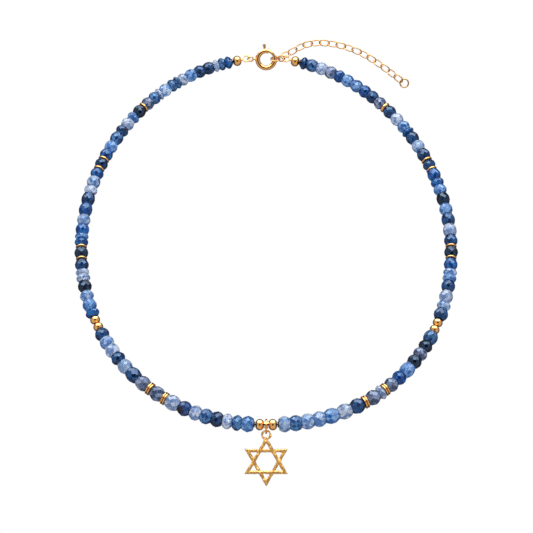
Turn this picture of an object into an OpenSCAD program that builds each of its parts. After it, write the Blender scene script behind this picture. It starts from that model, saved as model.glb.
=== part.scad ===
// Star pendant on a graded string of faceted blue stones, millimetres.
// The back of the neck rests at the origin, the string hangs down and forward (-Y), the star hangs plumb.

/* [String of beads] */
// Half the width of the loop, between bead centres
half_width = 57.3; // [50:0.05:66]
// Length of the loop's plane from its widest level up to the back of the neck
back_length = 67.3; // [58:0.1:76]
// Length of the loop's plane from its widest level down to the star
front_length = 61.4; // [54:0.1:70]
// Angle by which the loop leans back from plumb
lean_back = 28; // [10:1:45]
// Exponent of the left half's curve behind the widest level, 2 is an ellipse
left_back_exponent = 1.98; // [1.8:0.01:2.3]
// Exponent of the left half's curve in front of the widest level
left_front_exponent = 2.08; // [1.8:0.01:2.3]
// Exponent of the right half's curve behind the widest level
right_back_exponent = 1.9; // [1.8:0.01:2.3]
// Exponent of the right half's curve in front of the widest level
right_front_exponent = 2.16; // [1.8:0.01:2.3]
// Distance along the string from the back of the neck to each bead tip
tip_distance = 9.1; // [8.6:0.1:10.5]
// Running gap between neighbouring pieces on the string
string_gap = 0.12; // [0.1:0.01:0.2]
// Diameter of the stringing thread
thread_d = 0.45; // [0.3:0.05:0.6]
// Diameter of the hole through every bead
bead_hole_d = 0.9; // [0.8:0.05:1]

/* [Stones] */
// Diameter of the stones beside the star
front_stone_d = 5.2; // [4.4:0.1:5.6]
// Diameter of the stones beside the clasp
clasp_stone_d = 4.05; // [3.4:0.05:4.4]
// How fast the stones grow towards the front
stone_taper = 1.9; // [1:0.1:3]
// Number of facets round a stone
stone_sides = 10; // [8:1:12]
// Width of the flat end of a stone as a share of its diameter
stone_table = 0.56; // [0.45:0.01:0.7]
// Length of the girdle facets as a share of the stone's thickness
stone_girdle = 0.34; // [0.2:0.01:0.5]

/* [Gold beads and rings] */
// Diameter of the two gold beads beside the star
front_ball_d = 3.55; // [3.2:0.05:3.8]
// Length of those beads along the string
front_ball_t = 2.7; // [2.3:0.05:3]
// Diameter of the paired gold beads on each side
side_ball_d = 3.15; // [2.8:0.05:3.4]
// Length of those beads along the string
side_ball_t = 2.5; // [2.2:0.05:2.7]
// Diameter of the gold rings between the smaller stones
slim_ring_d = 3.5; // [3.1:0.05:3.8]
// Diameter of the doubled gold rings between the larger stones
wide_ring_d = 4.2; // [3.6:0.05:4.4]
// Thickness of a gold ring
gold_ring_t = 0.55; // [0.4:0.05:0.7]
// Thickness of the one thick gold ring near the clasp
thick_ring_t = 1.0; // [0.8:0.05:1.3]
// Diameter of the short gold tube that carries the pendant ring
bushing_d = 2.3; // [2:0.05:2.6]
// Diameter of the black stops
stop_d = 1.9; // [1.6:0.05:2.3]
// Thickness of the black stops
stop_t = 0.35; // [0.3:0.05:0.9]

/* [Star] */
// Outer radius of the star, centre to point
star_radius = 7.7; // [7:0.05:8.4]
// Width of the star's bars
bar_width = 1.0; // [0.8:0.05:1.2]
// Thickness of the star's bars
bar_thickness = 0.9; // [0.7:0.05:1.1]
// Width of the bevel along each edge of a bar
bar_bevel = 0.22; // [0.1:0.01:0.3]
// How far the upright triangle lies in front of the other one
weave_step = 0.14; // [0.06:0.02:0.2]
// Outer diameter of the loop on top of the star
star_loop_d = 3.2; // [3:0.05:3.3]
// Wire thickness of that loop
star_loop_wire = 0.6; // [0.5:0.05:0.7]
// Outer diameter of the pendant ring round the string
pendant_ring_d = 4.7; // [4.65:0.05:5.2]
// Wire thickness of the pendant ring
pendant_ring_wire = 0.6; // [0.5:0.05:0.7]
// Running gap between the pendant ring and what it hangs on, carries and turns beside
pendant_gap = 0.1; // [0.08:0.01:0.16]

/* [Clasp] */
// Outer diameter of the spring ring
clasp_d = 6.8; // [6.6:0.05:7.2]
// Thickness of the spring ring's tube
clasp_tube_d = 1.5; // [1.4:0.05:1.7]
// Bore of the tube that the bolt slides in
clasp_bore_d = 1.12; // [1.05:0.01:1.2]
// Thickness of the bolt
bolt_d = 0.84; // [0.7:0.02:0.9]
// How far the bolt swings to open
bolt_travel = 46; // [30:1:50]
// Height of the thumb piece above the tube
thumb_height = 1.35; // [1:0.05:1.8]
// Thickness of the thumb piece
thumb_d = 0.8; // [0.6:0.05:0.9]
// Diameter of the bead tips
tip_ball_d = 3.2; // [2.9:0.05:3.3]
// Length of the bead tips along the string
tip_ball_t = 2.6; // [2.3:0.05:2.8]
// Outer diameter of the loops on the bead tips
tip_loop_d = 2.46; // [2.4:0.02:2.5]
// Outer diameter of the ring that hangs in the spring ring
clasp_link_d = 3.18; // [3.1:0.02:3.4]
// Outer diameter of the ring between that one and the right bead tip
joining_ring_d = 2.5; // [2.44:0.02:2.6]
// Outer diameter of the spring ring's own small eye
clasp_eye_d = 2.1; // [2.04:0.02:2.2]
// Wire thickness of the small rings at the clasp
link_ring_wire = 0.42; // [0.36:0.02:0.44]

/* [Extender chain] */
// Distance from one link to the next
chain_pitch = 2.6; // [2.4:0.05:2.7]
// Width of a link
chain_width = 2.7; // [2.4:0.05:2.8]
// Wire thickness of a link
chain_wire = 0.36; // [0.3:0.02:0.38]
// Outer diameter of the round ring that ends the chain
end_ring_d = 3.05; // [2.8:0.05:3.4]
// Wire thickness of that ring
end_ring_wire = 0.44; // [0.36:0.02:0.5]

/* [Hidden] */
// From the star to the clasp. A digit is a stone and its thickness in tenths of its diameter,
// O a front gold bead, o a side gold bead, I a wide ring, i a slim ring, T the thick ring, | a stop.
left_chart = "O|76677789II9II9987777oo5878548i8i638899687i7i7896868i7738546878455|";
right_chart = "O|7787999II94II8797778oo8698549i8i89999768i7i9893898T8879878885|";
// The tone of each stone in the same order:
// K black, N navy, R royal, D denim, C sky, S pale, P lilac, G grey
left_tones = "RRPNDSNPGGNSRPSNDCCKPPNKRSDSRNPSRNRDDNPCKGDPSDGPDNNPCR";
right_tones = "SNGGCPNGPGRCKPNDNSPNDSRKRPDCKCRRKRPNRCPNGNDCCRDSDN";
// The lie of each chain link, in degrees from level
chain_lie = [20, 32, 26, 14, 4, -4, -9, -14, -19, -23, -28, -33, -35, -36, -38, -38];
// Middle of the first chain link, seen from the middle of the joining ring
chain_start = [1.18, 1.1];

$fn = 48;
route_count = 240;
slope_step = 0.4;
thread_count = 78;
thread_side_count = 6;
thread_inset = 0.3;
gold = [0.85, 0.62, 0.24];
sides = ["left", "right"];
digit_zero = ord("0");
function toward(side) = side == "left" ? -1 : 1;

// The loop hangs in its own plane, which then leans back about the origin
function shaped(v, e) = sign(v) * pow(abs(v), 2 / e);
function exponent(side, in_front) = side == "left"
    ? (in_front ? left_front_exponent : left_back_exponent)
    : (in_front ? right_front_exponent : right_back_exponent);
function loop_point(side, a) =
    let (in_front = cos(a) > 0,
         e = exponent(side, in_front),
         reach = in_front ? front_length : back_length)
    [half_width * shaped(sin(a), e), -reach * shaped(cos(a), e) - back_length];
function route_table(side) =
    let (points = [for (i = [0 : route_count]) loop_point(side, 180 * i / route_count)])
    [for (i = 0, t = 0; i <= route_count;
        t = t + (i < route_count ? norm(points[i + 1] - points[i]) : 0), i = i + 1)
        [t, 180 * i / route_count]];
left_table = route_table("left");
right_table = route_table("right");
function half_length(side) = (side == "left" ? left_table : right_table)[route_count][0];

// Distance s runs along the string from the star, to the right where it is positive
function along(s) =
    let (p = s < 0 ? loop_point("left", lookup(-s, left_table))
        : loop_point("right", lookup(s, right_table)))
    [sign(s) * p[0], p[1]];
function slope(s) = let (d = along(s + slope_step) - along(s - slope_step)) atan2(d[1], d[0]);
function leaned(p) = [p[0], p[1] * sin(lean_back), p[1] * cos(lean_back)];
front_spot = leaned(along(0));

// What each sign of a chart stands for
function is_stone(c) = ord(c) > digit_zero && ord(c) <= digit_zero + 9;
function metal_length(c) =
    c == "O" ? front_ball_t : c == "o" ? side_ball_t : c == "T" ? thick_ring_t
        : c == "|" ? stop_t : gold_ring_t;
function metal_width(c) =
    c == "O" ? front_ball_d : c == "o" ? side_ball_d : c == "I" ? wide_ring_d
        : c == "|" ? stop_d : slim_ring_d;
function stone_width(chart, i) =
    clasp_stone_d + (front_stone_d - clasp_stone_d) * pow(1 - i / len(chart), stone_taper);
function stone_length(chart, i) = (ord(chart[i]) - digit_zero) / 10 * stone_width(chart, i);
function sum(v) = v * [for (x = v) 1];

// The stones share the length that the metal pieces and the gaps leave
string_start = pendant_ring_wire / 2 + pendant_gap;
function metal_total(chart) = sum([for (c = chart) is_stone(c) ? 0 : metal_length(c)]);
function stone_total(chart) =
    sum([for (i = [0 : len(chart) - 1]) is_stone(chart[i]) ? stone_length(chart, i) : 0]);
function tip_reach(side) = half_length(side) - tip_distance;
function stone_fill(side, chart) =
    (tip_reach(side) - tip_ball_t / 2 - front_gap - metal_total(chart) - len(chart) * string_gap)
        / stone_total(chart);
function piece_lengths(side, chart) = let (fill = stone_fill(side, chart))
    [for (i = [0 : len(chart) - 1])
        is_stone(chart[i]) ? fill * stone_length(chart, i) : metal_length(chart[i])];
function piece_middles(v) =
    [for (i = 0, s = front_gap; i < len(v); s = s + v[i] + string_gap, i = i + 1) s + v[i] / 2];
bushing_lip = 0.2;
bushing_t = 2 * (string_start + bushing_lip);
front_gap = bushing_t / 2 + string_gap / 2;
left_lengths = piece_lengths("left", left_chart);
right_lengths = piece_lengths("right", right_chart);
left_middles = piece_middles(left_lengths);
right_middles = piece_middles(right_lengths);
function nth(chart, kinds, n) =
    [for (i = [0 : len(chart) - 1]) if (len(search(chart[i], kinds)) > 0) i][n - 1];

// Heights of the pendant below the string
ring_radius = (pendant_ring_d - pendant_ring_wire) / 2;
loop_radius = (star_loop_d - star_loop_wire) / 2;
loop_rise = pendant_ring_wire / 2 + star_loop_wire / 2 + pendant_gap;
ring_drop = ring_radius - pendant_ring_wire / 2 - bushing_d / 2 - pendant_gap;
loop_drop = ring_drop + ring_radius - loop_rise + loop_radius;
loop_sink = 0.5;
shoulder_angle = 23.5;
shoulder_foot = [0.55 * bar_width, 1.1 * bar_width];
star_top = loop_drop + loop_radius - star_loop_wire / 2 - loop_sink;
star_middle = star_top + star_radius;

// Angles round the spring ring, from its right side over the top
clasp_drop = 0.3;
clasp_radius = (clasp_d - clasp_tube_d) / 2;
gap_start = 22;
gap_end = 72;
bolt_seat = 10;
thumb_angle = 98;
bolt_tail = 8;
bore_spare = 5;
slot_gap = 0.08;
slot_spare = 13;
thumb_cap_t = 0.4;
thumb_cap_d = thumb_d + 0.24;
solder_d = 0.6;

// The small rings hang in each other from the spring ring outward, each gap wide enough to swing in
ring_gap = 0.14;
tube_gap = 0.22;
link_radius = (clasp_link_d - link_ring_wire) / 2;
joining_radius = (joining_ring_d - link_ring_wire) / 2;
tip_loop_radius = (tip_loop_d - link_ring_wire) / 2;
eye_radius = (clasp_eye_d - link_ring_wire) / 2;
link_x = clasp_radius - clasp_tube_d / 2 - tube_gap - link_ring_wire / 2 + link_radius;
joining_x = link_x + link_radius - link_ring_wire - ring_gap + joining_radius;
tip_loop_x = joining_x + joining_radius - link_ring_wire - ring_gap + tip_loop_radius;
eye_x = tip_loop_x - tip_loop_radius + link_ring_wire + ring_gap - eye_radius;
link_z = -0.2;
eye_z = 0.1;
tip_loop_z = -0.05;
link_tip = -60;
joining_tip = 35;
tip_loop_tip = -25;
eye_tip = 35;

// Places along the chain
chain_gap = 0.1;
link_length = chain_pitch + 2 * chain_wire + chain_gap;
chain_turn = 45;
last_link = len(chain_lie) - 1;
function chain_step(i) = let (a = (chain_lie[i] + chain_lie[i + 1]) / 2) chain_pitch * [cos(a), sin(a)];
chain_spots = [for (i = 0, p = [joining_x, 0] + chain_start; i <= last_link;
    p = p + (i < last_link ? chain_step(i) : [0, 0]), i = i + 1) p];
end_ring_radius = (end_ring_d - end_ring_wire) / 2;
end_ring_reach = link_length / 2 - chain_wire - chain_gap - end_ring_wire / 2 + end_ring_radius;
end_lie = chain_lie[last_link];
end_ring_spot = chain_spots[last_link] + end_ring_reach * [cos(end_lie), sin(end_lie)];

stone_tones = [["K", [0.05, 0.07, 0.13]], ["N", [0.08, 0.14, 0.30]], ["R", [0.11, 0.26, 0.58]],
    ["D", [0.22, 0.35, 0.56]], ["C", [0.33, 0.50, 0.80]], ["S", [0.56, 0.66, 0.86]],
    ["P", [0.67, 0.70, 0.86]], ["G", [0.40, 0.46, 0.56]]];
function tone(c) = stone_tones[search([c], stone_tones)[0]][1];

// Carries a piece to distance s, with the string along its own X axis
module on_string(s) {
    rotate([-lean_back, 0, 0])
        translate([along(s)[0], 0, along(s)[1]])
            rotate([0, -slope(s), 0])
                children();
}

// Round piece with a full rim and a drilled hole, along X
module turned_bead(d, t, hole = bead_hole_d) {
    rotate([0, 90, 0])
        rotate_extrude()
            difference() {
                union() {
                    translate([(d - t) / 2, 0])
                        circle(d = t);
                    translate([0, -t / 2])
                        square([(d - t) / 2, t]);
                }
                translate([-d, -t])
                    square([d + hole / 2, 2 * t]);
            }
}

// One level of points round a stone, r from the axis, x along it, turned by a share of a facet
function facet_ring(r, x, shift) =
    [for (i = [0 : stone_sides - 1]) let (a = 360 * (i + shift) / stone_sides) [x, r * cos(a), r * sin(a)]];

// Faceted rondelle along X: drilled flat ends, triangular crown facets, a girdle
module stone(d, t) {
    girdle = stone_girdle * t / 2;
    levels = [
        facet_ring(bead_hole_d / 2, -t / 2, 0),
        facet_ring(stone_table * d / 2, -t / 2, 0),
        facet_ring(d / 2, -girdle, 0.5),
        facet_ring(d / 2, girdle, 0.5),
        facet_ring(stone_table * d / 2, t / 2, 0),
        facet_ring(bead_hole_d / 2, t / 2, 0)];
    n = stone_sides;
    count = len(levels);
    // Where the girdle's half turn ends, the triangles lean the other way
    faces = [for (k = [0 : count - 1]) let (a = k * n, b = ((k + 1) % count) * n, leans_back = k == 3)
        for (i = [0 : n - 1]) let (j = (i + 1) % n)
            each leans_back ? [[a + i, b + j, a + j], [a + i, b + i, b + j]]
                : [[a + i, b + i, a + j], [a + j, b + i, b + j]]];
    polyhedron(points = [for (level = levels) each level], faces = faces);
}

module stones(side, chart, tones, lengths, middles) {
    spots = [for (i = [0 : len(chart) - 1]) if (is_stone(chart[i])) i];
    for (k = [0 : len(spots) - 1])
        let (i = spots[k])
            color(tone(tones[k]))
                on_string(toward(side) * middles[i])
                    stone(stone_width(chart, i), lengths[i]);
}

module left_stones() {
    stones("left", left_chart, left_tones, left_lengths, left_middles);
}

module right_stones() {
    stones("right", right_chart, right_tones, right_lengths, right_middles);
}

// The nth metal piece of the given kinds on one side, counted from the star
module metal_piece(side, chart, lengths, middles, kinds, n) {
    i = nth(chart, kinds, n);
    on_string(toward(side) * middles[i])
        turned_bead(metal_width(chart[i]), lengths[i]);
}

module left_piece(kinds, n) {
    metal_piece("left", left_chart, left_lengths, left_middles, kinds, n);
}

module right_piece(kinds, n) {
    metal_piece("right", right_chart, right_lengths, right_middles, kinds, n);
}

module gold_left(kinds, n) {
    color(gold)
        left_piece(kinds, n);
}

module gold_right(kinds, n) {
    color(gold)
        right_piece(kinds, n);
}

module stop_left(n) {
    color([0.03, 0.03, 0.04])
        left_piece("|", n);
}

module stop_right(n) {
    color([0.03, 0.03, 0.04])
        right_piece("|", n);
}

// The thread runs on one line through every bead and ends just inside both bead tips
module thread() {
    start = thread_inset - tip_reach("left");
    end = tip_reach("right") - thread_inset;
    n = thread_side_count;
    rings = [for (k = [0 : thread_count])
        let (s = start + (end - start) * k / thread_count, p = along(s), a = slope(s))
        [for (i = [0 : n - 1]) let (u = 360 * i / n, r = thread_d / 2)
            [p[0] - r * cos(u) * sin(a), r * sin(u), p[1] + r * cos(u) * cos(a)]]];
    walls = [for (k = [0 : thread_count - 1], i = [0 : n - 1]) let (j = (i + 1) % n)
        [k * n + i, k * n + j, (k + 1) * n + j, (k + 1) * n + i]];
    first_cap = [for (i = [0 : n - 1]) n - 1 - i];
    last_cap = [for (i = [0 : n - 1]) thread_count * n + i];
    color([0.12, 0.14, 0.22])
        rotate([-lean_back, 0, 0])
            polyhedron(points = [for (ring = rings) each ring],
                faces = concat(walls, [first_cap, last_cap]));
}

module bushing() {
    color(gold)
        on_string(0)
            rotate([0, 90, 0])
                difference() {
                    cylinder(d = bushing_d, h = bushing_t, center = true);
                    cylinder(d = bead_hole_d, h = 2 * bushing_t, center = true);
                }
}

// Ring of round wire that faces the front, tipped about X
module wire_ring(radius, wire, tip) {
    rotate([90 + tip, 0, 0])
        rotate_extrude()
            translate([radius, 0])
                circle(d = wire);
}

// Round bar between two points
module bar(from, to, d) {
    way = to - from;
    flat = norm([way[0], way[1]]);
    translate(from)
        rotate([0, atan2(flat, way[2]), atan2(way[1], way[0])])
            cylinder(d = d, h = norm(way));
}

// Ball over the thread's end, soldered to its loop
module bead_tip(side) {
    tip_spot = toward(side) * tip_reach(side);
    ball_spot = leaned(along(tip_spot));
    loop_spot = [toward(side) * tip_loop_x, 0, tip_loop_z];
    way = (ball_spot - loop_spot) / norm(ball_spot - loop_spot);
    color(gold)
        difference() {
            union() {
                on_string(tip_spot)
                    turned_bead(tip_ball_d, tip_ball_t, 0);
                translate(loop_spot)
                    wire_ring(tip_loop_radius, link_ring_wire, tip_loop_tip);
                bar(loop_spot + way * tip_loop_radius, ball_spot, solder_d);
            }
            on_string(tip_spot)
                rotate([0, -toward(side) * 90, 0])
                    cylinder(d = bead_hole_d, h = tip_ball_d);
        }
}

// Part of a round channel that follows the spring ring, from one angle to another
module ring_sweep(from, to, d) {
    rotate([90, 0, 0])
        rotate([0, 0, from])
            rotate_extrude(angle = to - from)
                translate([clasp_radius, 0])
                    circle(d = d);
}

module spring_ring() {
    color(gold)
        translate([0, 0, -clasp_drop])
            difference() {
                union() {
                    ring_sweep(gap_end, 360 + gap_start, clasp_tube_d);
                    translate([-eye_x, 0, eye_z])
                        wire_ring(eye_radius, link_ring_wire, eye_tip);
                    bar([eye_radius - eye_x, 0, eye_z],
                        [-clasp_radius - clasp_bore_d / 2, 0, eye_z], solder_d);
                }
                // Bore for the bolt, with a short seat across the gap
                ring_sweep(gap_end - 1, thumb_angle + bolt_travel + bolt_tail + bore_spare, clasp_bore_d);
                ring_sweep(bolt_seat - bore_spare, gap_start + 1, clasp_bore_d);
                // Slot that the thumb piece slides in
                rotate([90, 0, 0])
                    rotate([0, 0, thumb_angle - slot_spare])
                        rotate_extrude(angle = bolt_travel + 2 * slot_spare)
                            translate([clasp_radius, -thumb_d / 2 - slot_gap])
                                square([clasp_tube_d, thumb_d + 2 * slot_gap]);
            }
}

// Curved bolt with its thumb piece, one solid
module spring_bolt() {
    color(gold)
        translate([0, 0, -clasp_drop]) {
            ring_sweep(bolt_seat, thumb_angle + bolt_tail, bolt_d);
            rotate([0, -thumb_angle, 0]) {
                translate([clasp_radius, 0, 0])
                    rotate([0, 90, 0])
                        cylinder(d = thumb_d, h = clasp_tube_d / 2 + thumb_height);
                translate([clasp_d / 2 + thumb_height - thumb_cap_t, 0, 0])
                    rotate([0, 90, 0])
                        cylinder(d = thumb_cap_d, h = thumb_cap_t);
            }
        }
}

module clasp_link() {
    color(gold)
        translate([link_x, 0, link_z])
            wire_ring(link_radius, link_ring_wire, link_tip);
}

module joining_ring() {
    color(gold)
        translate([joining_x, 0, 0])
            wire_ring(joining_radius, link_ring_wire, joining_tip);
}

// Long round-ended link along X
module chain_link() {
    half_straight = (link_length - chain_width) / 2;
    bend_radius = (chain_width - chain_wire) / 2;
    for (end = [0, 1])
        rotate([0, 0, 180 * end]) {
            translate([half_straight, 0, 0])
                rotate([0, 0, -90])
                    rotate_extrude(angle = 180)
                        translate([bend_radius, 0])
                            circle(d = chain_wire);
            translate([-half_straight, bend_radius, 0])
                rotate([0, 90, 0])
                    cylinder(d = chain_wire, h = 2 * half_straight);
        }
}

module extender_chain() {
    color(gold)
        for (i = [0 : last_link])
            translate([chain_spots[i][0], 0, chain_spots[i][1]])
                rotate([0, -chain_lie[i], 0])
                    rotate([90 - (i % 2 == 0 ? 1 : -1) * chain_turn, 0, 0])
                        chain_link();
}

module extender_end_ring() {
    color(gold)
        translate([end_ring_spot[0], 0, end_ring_spot[1]])
            wire_ring(end_ring_radius, end_ring_wire, 0);
}

module pendant_ring() {
    color(gold)
        translate(front_spot - [0, 0, ring_drop])
            rotate([0, 90, 0])
                rotate_extrude()
                    translate([ring_radius, 0])
                        circle(d = pendant_ring_wire);
}

// Bevelled bar bent into a triangle with mitred corners, its first point turned by an angle from up
module triangle_frame(turn) {
    half = bar_width / 2;
    deep = bar_thickness / 2;
    c = bar_bevel;
    section = [[half - c, deep], [half, deep - c], [half, c - deep], [half - c, -deep],
        [c - half, -deep], [-half, c - deep], [-half, deep - c], [c - half, deep]];
    n = len(section);
    mid_radius = star_radius - bar_width;
    points = [for (k = [0 : 2], p = section) let (a = turn + 90 + 120 * k, r = mid_radius + 2 * p[0])
        [r * cos(a), p[1], r * sin(a)]];
    faces = [for (k = [0 : 2], i = [0 : n - 1]) let (m = (k + 1) % 3, j = (i + 1) % n)
        [k * n + i, k * n + j, m * n + j, m * n + i]];
    polyhedron(points = points, faces = faces);
}

// The star and its loop are one casting
module star() {
    color(gold)
        translate(front_spot) {
            translate([0, -weave_step / 2, -star_middle])
                triangle_frame(0);
            translate([0, weave_step / 2, -star_middle])
                triangle_frame(60);
            translate([0, 0, -loop_drop])
                wire_ring(loop_radius, star_loop_wire, 0);
            for (side = sides)
                let (x = toward(side), a = shoulder_angle)
                    bar([x * loop_radius * cos(a), 0, -loop_drop - loop_radius * sin(a)],
                        [x * shoulder_foot[0], 0, -star_top - shoulder_foot[1]], star_loop_wire);
        }
}

thread();
left_stones();
right_stones();
gold_left("O", 1);  // left_front_bead
gold_right("O", 1);  // right_front_bead
bushing();
gold_left("o", 1);  // left_side_bead_1
gold_left("o", 2);  // left_side_bead_2
gold_right("o", 1);  // right_side_bead_1
gold_right("o", 2);  // right_side_bead_2
gold_left("IiT", 1);  // left_ring_1
gold_left("IiT", 2);  // left_ring_2
gold_left("IiT", 3);  // left_ring_3
gold_left("IiT", 4);  // left_ring_4
gold_left("IiT", 5);  // left_ring_5
gold_left("IiT", 6);  // left_ring_6
gold_left("IiT", 7);  // left_ring_7
gold_left("IiT", 8);  // left_ring_8
gold_left("IiT", 9);  // left_ring_9
gold_right("IiT", 1);  // right_ring_1
gold_right("IiT", 2);  // right_ring_2
gold_right("IiT", 3);  // right_ring_3
gold_right("IiT", 4);  // right_ring_4
gold_right("IiT", 5);  // right_ring_5
gold_right("IiT", 6);  // right_ring_6
gold_right("IiT", 7);  // right_ring_7
gold_right("IiT", 8);  // right_ring_8
gold_right("IiT", 9);  // right_ring_9
stop_left(1);  // left_front_stop
stop_right(1);  // right_front_stop
stop_left(2);  // left_back_stop
stop_right(2);  // right_back_stop
bead_tip("left");  // left_bead_tip
bead_tip("right");  // right_bead_tip
spring_ring();
spring_bolt();
clasp_link();
joining_ring();
extender_chain();
extender_end_ring();
pendant_ring();
star();
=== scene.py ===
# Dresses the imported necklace: cut blue stones, polished gold, a hammered star, and a soft studio.
import math
import random

import bmesh
import bpy
from mathutils import Matrix, Vector, noise


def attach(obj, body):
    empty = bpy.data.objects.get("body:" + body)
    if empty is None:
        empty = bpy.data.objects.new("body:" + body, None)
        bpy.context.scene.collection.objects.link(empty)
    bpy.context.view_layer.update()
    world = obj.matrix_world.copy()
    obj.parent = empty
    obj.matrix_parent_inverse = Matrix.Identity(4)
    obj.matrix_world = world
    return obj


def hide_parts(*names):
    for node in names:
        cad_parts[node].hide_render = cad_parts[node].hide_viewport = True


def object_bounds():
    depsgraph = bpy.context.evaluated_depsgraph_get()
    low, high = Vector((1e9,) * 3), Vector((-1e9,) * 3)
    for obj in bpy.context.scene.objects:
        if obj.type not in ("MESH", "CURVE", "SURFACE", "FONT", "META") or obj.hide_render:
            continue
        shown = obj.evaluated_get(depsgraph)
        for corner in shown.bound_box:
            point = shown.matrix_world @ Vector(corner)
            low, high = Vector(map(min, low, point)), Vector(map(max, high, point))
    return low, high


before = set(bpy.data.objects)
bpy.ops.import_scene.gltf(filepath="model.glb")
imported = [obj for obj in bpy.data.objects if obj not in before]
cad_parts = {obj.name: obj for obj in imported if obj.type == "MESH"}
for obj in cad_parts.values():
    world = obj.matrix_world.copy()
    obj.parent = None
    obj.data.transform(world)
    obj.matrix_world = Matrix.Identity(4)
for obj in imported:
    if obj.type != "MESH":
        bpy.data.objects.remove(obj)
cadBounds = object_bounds()
print("frame loaded:", len(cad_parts), "nodes")

mm = 0.001
mergeDistance = 0.001 * mm

# The camera looks along +Y at the loop's middle, from far off, as the photograph does
cameraView = {
    "distance": 6.5,
    "field": 0.16523,        # width of the picture at the middle depth
    "middle": (0.00009, -0.06480),
    "depthMiddle": -0.03,
    "sensor": 36.0,
    "clip": (0.1, 60),
}


def addCamera(view):
    cam = bpy.data.cameras.new("camera")
    cam.sensor_width = view["sensor"]
    cam.lens = view["sensor"] * view["distance"] / view["field"]
    cam.clip_start, cam.clip_end = view["clip"]
    holder = bpy.data.objects.new("camera", cam)
    holder.location = (view["middle"][0], view["depthMiddle"] - view["distance"], view["middle"][1])
    holder.rotation_euler = (math.radians(90), 0, 0)
    bpy.context.scene.collection.objects.link(holder)
    bpy.context.scene.camera = holder


addCamera(cameraView)


def mergedCopy(node):
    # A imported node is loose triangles, so its corners are joined first
    bm = bmesh.new()
    bm.from_mesh(node.data)
    bmesh.ops.remove_doubles(bm, verts=bm.verts, dist=mergeDistance)
    return bm


def newMesh(name, bm):
    bmesh.ops.recalc_face_normals(bm, faces=bm.faces)
    data = bpy.data.meshes.new(name)
    bm.to_mesh(data)
    bm.free()
    obj = bpy.data.objects.new(name, data)
    bpy.context.scene.collection.objects.link(obj)
    return obj


def dress(obj, material):
    obj.data.materials.clear()
    obj.data.materials.append(material)


# Shader helpers

def addNode(tree, kind, **inputs):
    node = tree.nodes.new(kind)
    for key, value in inputs.items():
        socket = node.inputs[int(key[1:])] if key[0] == "i" and key[1:].isdigit() else node.inputs[key]
        if isinstance(value, bpy.types.NodeSocket):
            tree.links.new(value, socket)
        else:
            socket.default_value = value
    return node


def mathNode(tree, operation, *values):
    node = addNode(tree, "ShaderNodeMath", **{"i" + str(i): value for i, value in enumerate(values)})
    node.operation = operation
    return node.outputs[0]


def rescale(tree, value, reach=(0, 1), result=(0, 1)):
    # Carries the span of reach over to the span of result
    node = addNode(tree, "ShaderNodeMapRange", Value=value)
    node.inputs["From Min"].default_value, node.inputs["From Max"].default_value = reach
    node.inputs["To Min"].default_value, node.inputs["To Max"].default_value = result
    return node


def newMaterial(name):
    material = bpy.data.materials.new(name)
    material.use_nodes = True
    tree = material.node_tree
    return material, tree, tree.nodes["Principled BSDF"]


def greyRamp(tree, value, stops):
    node = tree.nodes.new("ShaderNodeValToRGB")
    tree.links.new(value, node.inputs["Fac"])
    points = node.color_ramp.elements
    while len(points) < len(stops):
        points.new(0.5)
    for point, (place, grey) in zip(points, stops):
        point.position = place
        point.color = (grey, grey, grey, 1)
    return node.outputs["Color"]


def objectPoint(tree):
    return tree.nodes.new("ShaderNodeTexCoord").outputs["Object"]


# Stones

stoneCut = {
    "sides": (9, 10, 10, 11),
    "girdleStep": 0.18,      # shares of the stone's thickness
    "crownStep": 0.39,
    "bore": 0.9 * mm,
    "closer": 0.10 * mm,     # stones touch where the string's working gap lies
    "flatAngle": 2,          # degrees, below which two faces are one facet
    "paintedTopLight": 0.24,       # painted light: how much lighter the upper facets are painted, and the lower ones darker
    "facetShade": 0.70,      # how much the facets differ from each other
    "toneDrift": 0.15,       # how much the stones of one tone differ
    "seed": 7,
}
stoneLook = {
    "cloudScale": 650,
    "fleckScale": 1300,
    "shadeReach": (0.15, 0.95),    # where the dark tone ends and the light one is full
    "fleckReach": (0.62, 0.70),
    "roughness": 0.08,
    "ior": 1.6,
    "sheen": 0.58,
    "sheenTint": (0.45, 0.64, 0.94),
    "clearness": 0.30,
}

# The order of the tones from the star to the clasp: K black, N navy, R royal, D dusk, C cornflower,
# S sky, P pale, G grey, and B navy with a brown patch
stoneOrder = {
    "left_stones": "CDPNDPBPGGNSNPSNRCSKPPNKRCRSRNPSRNRCDNPCKGDPSDDPCNNPDR",
    "right_stones": "SDSSCPNGPGRCKGKDNSPNCSRKNPNCKCRRNNSNRCPNGNRCCRGPDN",
}
# Each tone is the colour of its dark facets, of its light facets and of its flecks
stoneTones = {
    "K": ((0.001, 0.003, 0.012), (0.003, 0.026, 0.075), (0.001, 0.002, 0.006)),
    "N": ((0.001, 0.011, 0.058), (0.012, 0.085, 0.275), (0.001, 0.006, 0.025)),
    "B": ((0.003, 0.020, 0.100), (0.040, 0.120, 0.400), (0.020, 0.008, 0.010)),
    "R": ((0.001, 0.030, 0.190), (0.012, 0.160, 0.510), (0.001, 0.020, 0.120)),
    "D": ((0.006, 0.045, 0.180), (0.090, 0.250, 0.530), (0.004, 0.025, 0.090)),
    "C": ((0.025, 0.130, 0.420), (0.280, 0.500, 0.880), (0.030, 0.110, 0.320)),
    "S": ((0.090, 0.220, 0.540), (0.560, 0.700, 0.930), (0.120, 0.230, 0.450)),
    "P": ((0.170, 0.270, 0.520), (0.700, 0.770, 0.930), (0.190, 0.240, 0.400)),
    "G": ((0.030, 0.060, 0.140), (0.310, 0.370, 0.570), (0.130, 0.100, 0.050)),
}
brownPatch = {
    "stone": "B",
    "way": Vector((-0.62, -0.76, -0.20)),      # the side of the stone that it lies on
    "reach": 0.80,                             # cosine at its edge
    "tone": ((0.010, 0.003, 0.003), (0.040, 0.014, 0.012), (0.004, 0.002, 0.002)),
}


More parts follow.
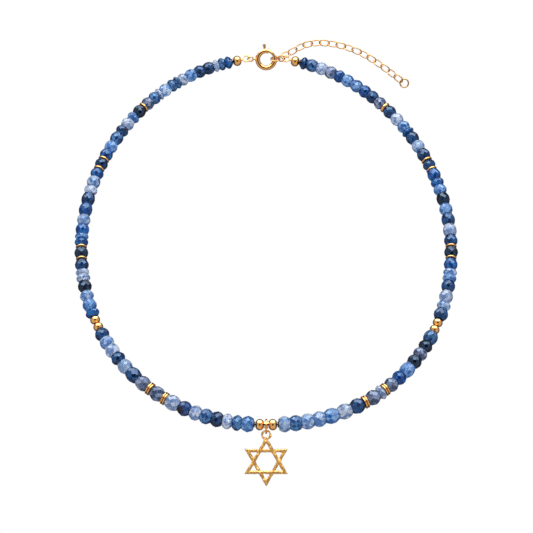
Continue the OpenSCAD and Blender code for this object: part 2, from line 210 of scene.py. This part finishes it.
def loosePieces(node):
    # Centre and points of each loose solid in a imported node
    bm = mergedCopy(node)
    seen = set()
    found = []
    for start in bm.verts:
        if start in seen:
            continue
        seen.add(start)
        group = [start]
        for v in group:
            fresh = [e.other_vert(v) for e in v.link_edges if e.other_vert(v) not in seen]
            seen.update(fresh)
            group.extend(fresh)
        points = [v.co.copy() for v in group]
        found.append((sum(points, Vector()) / len(points), points))
    bm.free()
    return found


def fromStar(pieces, middle):
    # Sorts the pieces along the string, from the star up to the clasp
    return sorted(pieces, key=lambda piece: math.atan2(abs(piece[0].x), middle - piece[0].z))


def facetsInOrder(hull):
    # The order of the hull's facets hangs on the last digits of its corners,
    # so they are copied in the order of those corners, and each facet keeps its shade in every run
    bmesh.ops.recalc_face_normals(hull, faces=hull.faces)
    hull.verts.index_update()
    loops = []
    for face in hull.faces:
        loop = [v.index for v in face.verts]
        first = loop.index(min(loop))
        loops.append(loop[first:] + loop[:first])
    bm = bmesh.new()
    corners = [bm.verts.new(v.co) for v in hull.verts]
    for loop in sorted(loops):
        bm.faces.new([corners[i] for i in loop])
    hull.free()
    bm.normal_update()
    return bm


def cutRondelle(cut, diameter, thickness, sides):
    # Each ring of corners is turned by half a facet against its neighbours,
    # and the widths make the facets between them flat
    radius = diameter / 2
    flat = math.cos(math.pi / sides)
    crown = 1 - cut["crownStep"] / cut["girdleStep"] * (1 - flat ** 2)
    fall = flat * (1 - crown) / (cut["crownStep"] - cut["girdleStep"])
    table = flat * crown - fall * (0.5 - cut["crownStep"])
    rings = [
        (radius, 0, 0.5),
        (radius * flat, cut["girdleStep"] * thickness, 0),
        (radius * crown, cut["crownStep"] * thickness, 0.5),
        (radius * table, thickness / 2, 0),
    ]
    bm = bmesh.new()
    for width, height, turn in rings:
        for end in ([1, -1] if height else [1]):
            spin = Matrix.Rotation(math.tau * turn / sides, 4, "Z")
            place = Matrix.Translation((0, 0, end * height)) @ spin
            bmesh.ops.create_circle(bm, segments=sides, radius=width, matrix=place)
    hull = bmesh.ops.convex_hull(bm, input=bm.verts)
    spare = [e for e in hull["geom_interior"] + hull["geom_unused"] if isinstance(e, bmesh.types.BMVert)]
    bmesh.ops.delete(bm, geom=spare, context="VERTS")
    flatAngle = math.radians(cut["flatAngle"])
    bmesh.ops.dissolve_limit(bm, angle_limit=flatAngle, verts=bm.verts, edges=bm.edges)
    bm = facetsInOrder(bm)
    # The bore goes through the two end faces
    tables = [f for f in bm.faces if len(f.verts) == sides and abs(f.normal.z) > 0.99]
    bmesh.ops.inset_region(bm, faces=tables, thickness=radius * table * flat - cut["bore"] / 2, depth=0)
    rim = [e for f in tables for e in f.edges]
    bmesh.ops.delete(bm, geom=tables, context="FACES_ONLY")
    bmesh.ops.bridge_loops(bm, edges=rim)
    return bm


def buildStones(name, cut, order, tones, chance):
    middle = (cadBounds[0].z + cadBounds[1].z) / 2
    pieces = fromStar(loosePieces(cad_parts[name]), middle)
    centres = [centre for centre, points in pieces]
    whole = bmesh.new()
    layers = [whole.faces.layers.float_color.new(layer) for layer in ("deepTone", "lightTone", "fleckTone")]
    shade = whole.faces.layers.float.new("facetShade")
    for i, (centre, points) in enumerate(pieces):
        before = centres[max(i - 1, 0)]
        after = centres[min(i + 1, len(centres) - 1)]
        axis = (after - before).normalized()
        along = [(p - centre).dot(axis) for p in points]
        across = [((p - centre) - axis * (p - centre).dot(axis)).length for p in points]
        radius = max(across)
        thickness = max(along) - min(along) + cut["closer"]
        bm = cutRondelle(cut, 2 * radius, thickness, chance.choice(cut["sides"]))
        spin = Matrix.Rotation(chance.uniform(0, math.tau), 4, "Z")
        place = Matrix.Translation(centre) @ axis.to_track_quat("Z", "Y").to_matrix().to_4x4() @ spin
        bmesh.ops.transform(bm, matrix=place, verts=bm.verts)
        piece = bpy.data.meshes.new("cut")
        bmesh.ops.recalc_face_normals(bm, faces=bm.faces)
        bm.to_mesh(piece)
        bm.free()
        first = len(whole.faces)
        whole.from_mesh(piece)
        bpy.data.meshes.remove(piece)
        whole.faces.ensure_lookup_table()
        drift = chance.uniform(1 - cut["toneDrift"], 1 + cut["toneDrift"])
        for face in whole.faces[first:]:
            way = face.calc_center_median() - centre
            inPatch = way.normalized() @ brownPatch["way"] > brownPatch["reach"]
            patched = order[i] == brownPatch["stone"] and inPatch
            for layer, tone in zip(layers, brownPatch["tone"] if patched else tones[order[i]]):
                face[layer] = (*[min(c * drift, 1) for c in tone], 1)
            # Painted light from above: upper facets are painted lighter and lower ones darker, on top of each
            # facet's random tone
            lift = way.z / radius
            face[shade] = cut["paintedTopLight"] * lift + cut["facetShade"] * chance.uniform(-1, 1)
    return newMesh(name.replace("_", "-") + "-cut", whole)


def faceValue(tree, name):
    node = tree.nodes.new("ShaderNodeAttribute")
    node.attribute_name = name
    return node


def mixColour(tree, share, first, second):
    node = tree.nodes.new("ShaderNodeMix")
    node.data_type = "RGBA"
    for socket, value in zip((node.inputs["Factor"], node.inputs[6], node.inputs[7]), (share, first, second)):
        tree.links.new(value, socket)
    return node.outputs[2]


def stoneMaterial(look):
    material, tree, shader = newMaterial("blueStone")
    point = objectPoint(tree)
    cloud = addNode(tree, "ShaderNodeTexNoise", Vector=point, Scale=look["cloudScale"], Detail=2)
    # facetShade holds painted light from above as well as each facet's random tone, and it picks between the
    # dark and light tones
    shade = mathNode(tree, "ADD", cloud.outputs["Fac"], faceValue(tree, "facetShade").outputs["Fac"])
    light = rescale(tree, shade, look["shadeReach"])
    body = mixColour(tree, light.outputs[0], faceValue(tree, "deepTone").outputs["Color"],
                     faceValue(tree, "lightTone").outputs["Color"])
    fleck = addNode(tree, "ShaderNodeTexNoise", Vector=point, Scale=look["fleckScale"], Detail=1)
    mask = rescale(tree, fleck.outputs["Fac"], look["fleckReach"])
    flecked = mixColour(tree, mask.outputs[0], body, faceValue(tree, "fleckTone").outputs["Color"])
    tree.links.new(flecked, shader.inputs["Base Color"])
    shader.inputs["Roughness"].default_value = look["roughness"]
    shader.inputs["IOR"].default_value = look["ior"]
    shader.inputs["Specular IOR Level"].default_value = look["sheen"]
    shader.inputs["Specular Tint"].default_value = (*look["sheenTint"], 1)
    shader.inputs["Transmission Weight"].default_value = look["clearness"]
    return material


stoneFinish = stoneMaterial(stoneLook)
stoneChance = random.Random(stoneCut["seed"])
for name, order in stoneOrder.items():
    cut = buildStones(name, stoneCut, order, stoneTones, stoneChance)
    dress(cut, stoneFinish)
    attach(cut, "strand")
    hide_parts(name)
print("stones cut")


# Gold, thread and stops

surfaceWearLook = {
    "blotReach": (0.3, 0.7),         # where a blot is darkest and where it ends
    "roughnessReach": (0.7, 1.3),    # how far the roughness drifts, times its own value
}
goldLook = {
    "wearScale": 700,
    "wearFade": 0.12,
    "coat": 0.8,
}
darkLook = {
    "wearScale": 3000,
    "wearFade": 0.3,
}
# Colour and roughness of each finish
goldFinishes = {
    "polishedGold": ((0.89, 0.43, 0.115), 0.10),
    # The wire gold is the same gold as the polished pieces, painted darker as painted shade on the thin chain
    # and small rings, and with a rougher finish
    "shadedWireGold": ((0.62, 0.31, 0.070), 0.38),
    "hammeredGold": ((0.84, 0.46, 0.120), 0.50),
}
darkFinishes = {
    "blackGloss": ((0.012, 0.012, 0.014), 0.15),
    "silkThread": ((0.05, 0.06, 0.11), 0.7),
}
# Pieces that get the wire gold with its painted shade
wirePieces = ("extender_chain", "extender_end_ring", "clasp_link", "joining_ring")


def makeWearGroup(wear):
    # Lets a colour and a roughness drift a little over the surface
    group = bpy.data.node_groups.new("surfaceWear", "ShaderNodeTree")
    for label, kind in (("Point", "Vector"), ("Scale", "Float"), ("Colour", "Color"), ("Fade", "Float"),
                        ("Roughness", "Float")):
        group.interface.new_socket(label, in_out="INPUT", socket_type="NodeSocket" + kind)
    group.interface.new_socket("Colour", in_out="OUTPUT", socket_type="NodeSocketColor")
    group.interface.new_socket("Roughness", in_out="OUTPUT", socket_type="NodeSocketFloat")
    given = group.nodes.new("NodeGroupInput").outputs
    blot = addNode(group, "ShaderNodeTexNoise", Vector=given["Point"], Scale=given["Scale"], Detail=3)
    shade = rescale(group, blot.outputs["Fac"], reach=wear["blotReach"])
    group.links.new(mathNode(group, "SUBTRACT", 1.0, given["Fade"]), shade.inputs["To Min"])
    tinted = addNode(group, "ShaderNodeVectorMath", i0=given["Colour"], i1=shade.outputs[0])
    tinted.operation = "MULTIPLY"
    spread = rescale(group, blot.outputs["Fac"], result=wear["roughnessReach"])
    dulled = mathNode(group, "MULTIPLY", spread.outputs[0], given["Roughness"])
    addNode(group, "NodeGroupOutput", Colour=tinted.outputs[0], Roughness=dulled)
    return group


surfaceWear = makeWearGroup(surfaceWearLook)


def wornMaterial(name, colour, roughness, look):
    material, tree, shader = newMaterial(name)
    worn = tree.nodes.new("ShaderNodeGroup")
    worn.node_tree = surfaceWear
    tree.links.new(objectPoint(tree), worn.inputs["Point"])
    worn.inputs["Scale"].default_value = look["wearScale"]
    worn.inputs["Colour"].default_value = (*colour, 1)
    worn.inputs["Fade"].default_value = look["wearFade"]
    worn.inputs["Roughness"].default_value = roughness
    tree.links.new(worn.outputs["Colour"], shader.inputs["Base Color"])
    tree.links.new(worn.outputs["Roughness"], shader.inputs["Roughness"])
    return material


def goldMaterial(name, colour, roughness, look):
    material = wornMaterial(name, colour, roughness, look)
    shader = material.node_tree.nodes["Principled BSDF"]
    shader.inputs["Metallic"].default_value = 1
    shader.inputs["Coat Weight"].default_value = look["coat"]
    shader.inputs["Coat Roughness"].default_value = roughness / 2
    return material


golds = {name: goldMaterial(name, *finish, goldLook) for name, finish in goldFinishes.items()}
darks = {name: wornMaterial(name, *finish, darkLook) for name, finish in darkFinishes.items()}

for name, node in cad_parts.items():
    if name.endswith("stones") or name == "star":
        continue
    if name.endswith("stop"):
        dress(node, darks["blackGloss"])
    elif name == "thread":
        dress(node, darks["silkThread"])
    elif name in wirePieces:
        dress(node, golds["shadedWireGold"])
    else:
        dress(node, golds["polishedGold"])
print("gold, thread and stops finished")


# Hammered star

starHammer = {
    "grain": 0.10 * mm,      # size of the skin's faces
    "dentSize": 1.1 * mm,
    "dentDepth": 0.16 * mm,
    "seed": 4,
    "fineScale": 1800,       # the small marks between the dents
    "fineStrength": 0.6,
    "fineDepth": 0.3 * mm,
}


def hammerStar(node, settings):
    # The cast form with its edges eased, then knocked a little out of true all over
    form = newMesh("star-hammered", mergedCopy(node))
    skin = form.modifiers.new("skin", "REMESH")
    skin.mode = "VOXEL"
    skin.voxel_size = settings["grain"]
    skin.use_smooth_shade = True
    reader = bpy.context.evaluated_depsgraph_get()
    form.data = bpy.data.meshes.new_from_object(form.evaluated_get(reader))
    form.modifiers.clear()
    shift = Vector((settings["seed"], 0, 0))
    normals = [v.normal.copy() for v in form.data.vertices]
    for vertex, normal in zip(form.data.vertices, normals):
        dent = noise.noise(vertex.co / settings["dentSize"] + shift)
        vertex.co += normal * dent * settings["dentDepth"]
    return form


def markSurface(material, settings):
    tree = material.node_tree
    point = objectPoint(tree)
    mark = addNode(tree, "ShaderNodeTexNoise", Vector=point, Scale=settings["fineScale"], Detail=1)
    bump = addNode(tree, "ShaderNodeBump", Height=mark.outputs["Fac"],
                   Strength=settings["fineStrength"], Distance=settings["fineDepth"])
    tree.links.new(bump.outputs[0], tree.nodes["Principled BSDF"].inputs["Normal"])


star = hammerStar(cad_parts["star"], starHammer)
markSurface(golds["hammeredGold"], starHammer)
dress(star, golds["hammeredGold"])
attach(star, "star")
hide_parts("star")
print("star hammered:", len(star.data.polygons), "faces")


# Studio

studio = {
    "floorDepth": 0.2,
    "floorSize": 6.0,
    "floorColour": (0.9, 0.9, 0.9),
    "floorRoughness": 0.9,
    "fill": 0.7,             # light on matt surfaces
    "tent": 0.85,            # brightness of what the reflections see
    "softbox": 7.5,
    # Place and grey of each stop, from the back to the lens
    "tentStops": ((0.36, 0.18), (0.50, 0.85), (0.92, 0.95), (0.988, 0.03)),
    # Edges of the softbox in its height, its width and its depth
    "boxRise": ((0.60, 0), (0.70, 1)),
    "boxWidth": ((0.55, 1), (0.75, 0)),
    "boxDepth": ((0.32, 0), (0.38, 1)),
    "aim": (0, 0, -0.06),
}
# Place, width and height, and power of each light
lights = {
    "overhead": ((0, -0.5, 0.9), (0.5, 0.35), 4),
    "leftSide": ((-0.9, -0.7, 0.2), (0.4, 0.6), 1.2),
    "rightSide": ((0.9, -0.7, 0.2), (0.4, 0.6), 0.9),
}


def addFloor(settings):
    bm = bmesh.new()
    bmesh.ops.create_grid(bm, x_segments=1, y_segments=1, size=settings["floorSize"] / 2,
                          matrix=Matrix.Translation((0, 0, -settings["floorDepth"])))
    floor = newMesh("floor", bm)
    material, tree, shader = newMaterial("paleFloor")
    shader.inputs["Base Color"].default_value = (*settings["floorColour"], 1)
    shader.inputs["Roughness"].default_value = settings["floorRoughness"]
    dress(floor, material)
    floor.visible_glossy = False


def addWorld(settings):
    world = bpy.data.worlds.new("studio")
    bpy.context.scene.world = world
    world.use_nodes = True
    tree = world.node_tree
    way = addNode(tree, "ShaderNodeTexCoord").outputs["Generated"]
    split = addNode(tree, "ShaderNodeSeparateXYZ", Vector=way)
    # Reflections see a pale tent in front with a dark hole for the lens, a dim room behind
    # and a softbox overhead
    front = mathNode(tree, "MULTIPLY_ADD", split.outputs["Y"], -0.5, 0.5)
    tent = greyRamp(tree, front, settings["tentStops"])
    rise = greyRamp(tree, split.outputs["Z"], settings["boxRise"])
    width = greyRamp(tree, mathNode(tree, "ABSOLUTE", split.outputs["X"]), settings["boxWidth"])
    near = greyRamp(tree, front, settings["boxDepth"])
    box = mathNode(tree, "MULTIPLY", mathNode(tree, "MULTIPLY", rise, width), near)
    power = rescale(tree, box, result=(settings["tent"], settings["softbox"]))
    mirrored = addNode(tree, "ShaderNodeBackground", Color=tent, Strength=power.outputs[0])
    plain = addNode(tree, "ShaderNodeBackground", Color=(1, 1, 1, 1), Strength=settings["fill"])
    white = addNode(tree, "ShaderNodeBackground", Color=(1, 1, 1, 1), Strength=1.0)
    path = tree.nodes.new("ShaderNodeLightPath")
    shader = plain
    for ray, other in (("Is Glossy Ray", mirrored), ("Is Camera Ray", white)):
        mix = tree.nodes.new("ShaderNodeMixShader")
        tree.links.new(path.outputs[ray], mix.inputs["Fac"])
        tree.links.new(shader.outputs[0], mix.inputs[1])
        tree.links.new(other.outputs[0], mix.inputs[2])
        shader = mix
    tree.links.new(shader.outputs[0], tree.nodes["World Output"].inputs["Surface"])


def addLight(name, place, aim, size, power):
    lamp = bpy.data.lights.new(name, "AREA")
    lamp.shape = "RECTANGLE"
    lamp.size, lamp.size_y = size
    lamp.energy = power
    holder = bpy.data.objects.new(name, lamp)
    holder.location = place
    holder.rotation_euler = (Vector(aim) - Vector(place)).to_track_quat("-Z", "Y").to_euler()
    holder.visible_glossy = False
    bpy.context.scene.collection.objects.link(holder)


addFloor(studio)
addWorld(studio)
for name, (place, size, power) in lights.items():
    addLight(name, place, studio["aim"], size, power)
bpy.context.scene.view_settings.view_transform = "Standard"
print("studio lit")
